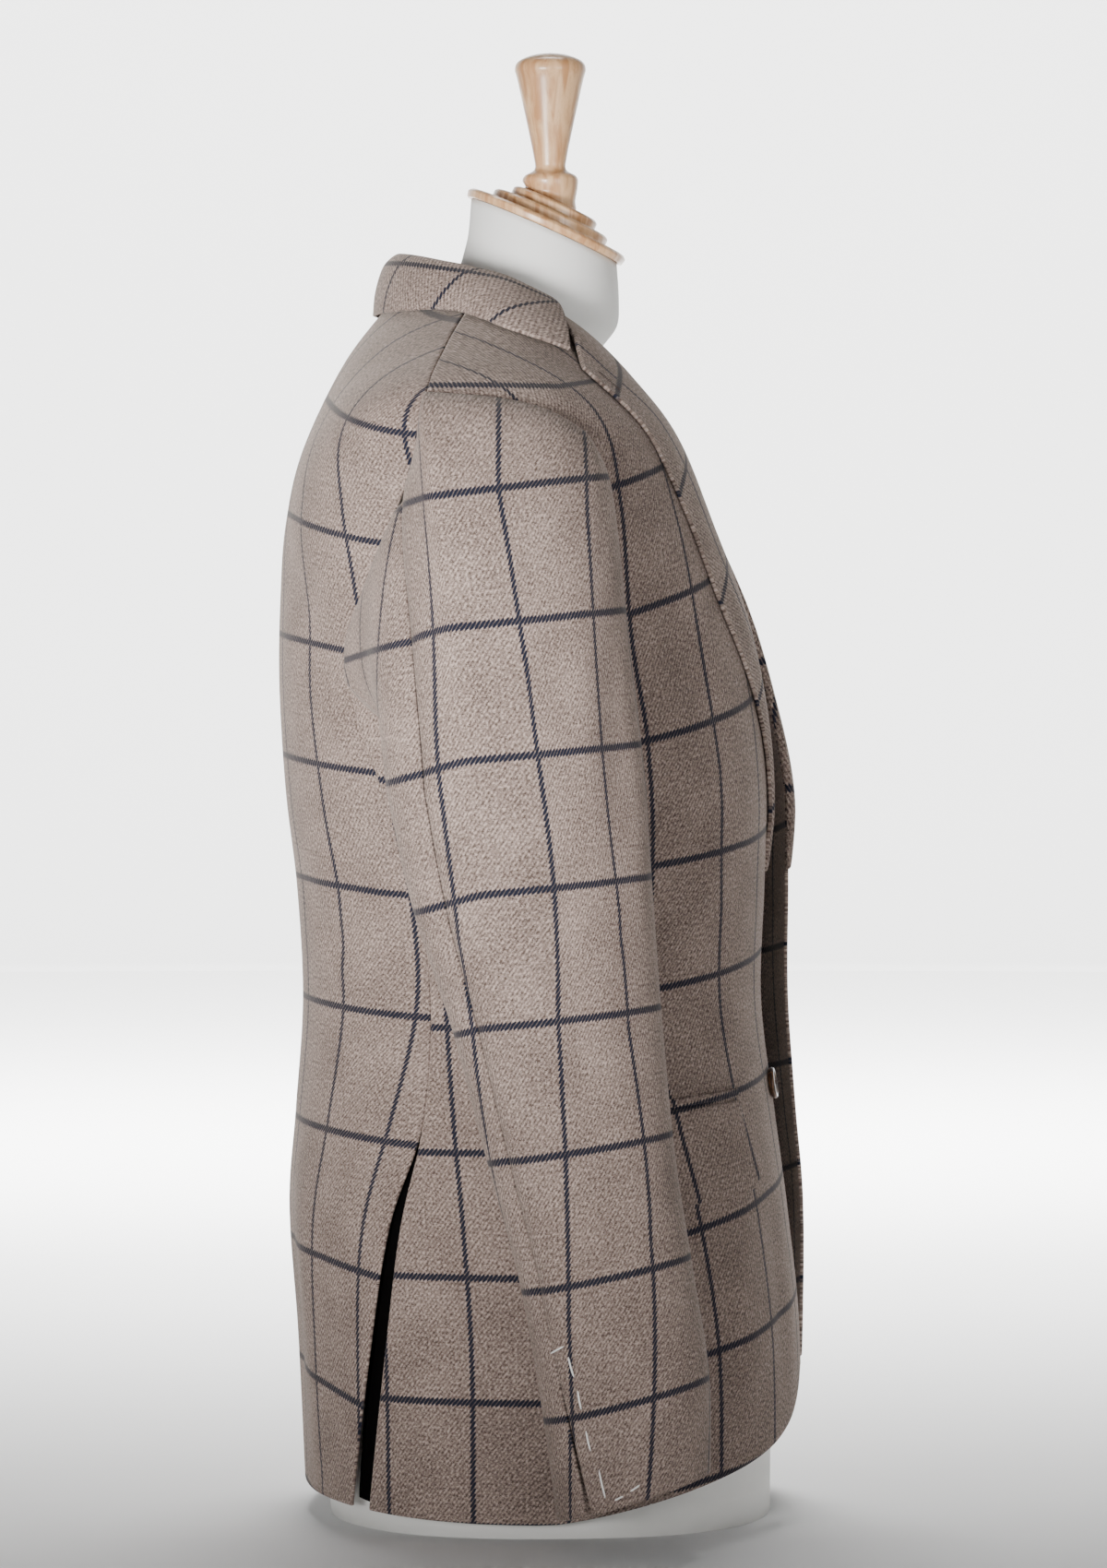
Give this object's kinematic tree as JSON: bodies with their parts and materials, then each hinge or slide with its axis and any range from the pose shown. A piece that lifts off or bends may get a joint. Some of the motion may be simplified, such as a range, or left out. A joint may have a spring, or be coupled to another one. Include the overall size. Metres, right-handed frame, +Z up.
{
  "type": "blazer on a dress form",
  "caption": "Brown wool tweed blazer with a navy windowpane check, notched lapels, flap pockets and side vents, worn open on a limbless dress form with a wooden neck cap and finial",
  "frame": {"origin": "middle of the form's flat base", "axes": "+Z up; the wearer faces -Y; the wearer's left is +X"},
  "size_m": [0.5731, 0.3308, 0.913],
  "materials": {
    "wool_cloth": "milled wool twill tweed, heathered brown with a navy windowpane check",
    "vent_facing": "plain near-black cloth inside the side vent",
    "horn": "polished brown horn",
    "form_cover": "tight off-white cotton cover",
    "turned_wood": "varnished turned beech"
  },
  "bodies": {
    "root": {"back_right": "wool_cloth", "back_left": "wool_cloth", "side_right": "wool_cloth", "side_left": "wool_cloth", "vent_underlap_right": "vent_facing", "vent_underlap_left": "vent_facing", "front_right": "wool_cloth", "front_left": "wool_cloth", "lapel_right": "wool_cloth", "lapel_left": "wool_cloth", "top_sleeve_right": "wool_cloth", "top_sleeve_left": "wool_cloth", "under_sleeve_right": "wool_cloth", "under_sleeve_left": "wool_cloth", "pocket_jetting_right": "wool_cloth", "pocket_jetting_left": "wool_cloth", "pocket_flap_right": "wool_cloth", "pocket_flap_left": "wool_cloth", "collar": "wool_cloth", "button": "horn", "form_torso": "form_cover", "neck_cap": "turned_wood", "finial": "turned_wood"}
  },
  "joints": []
}
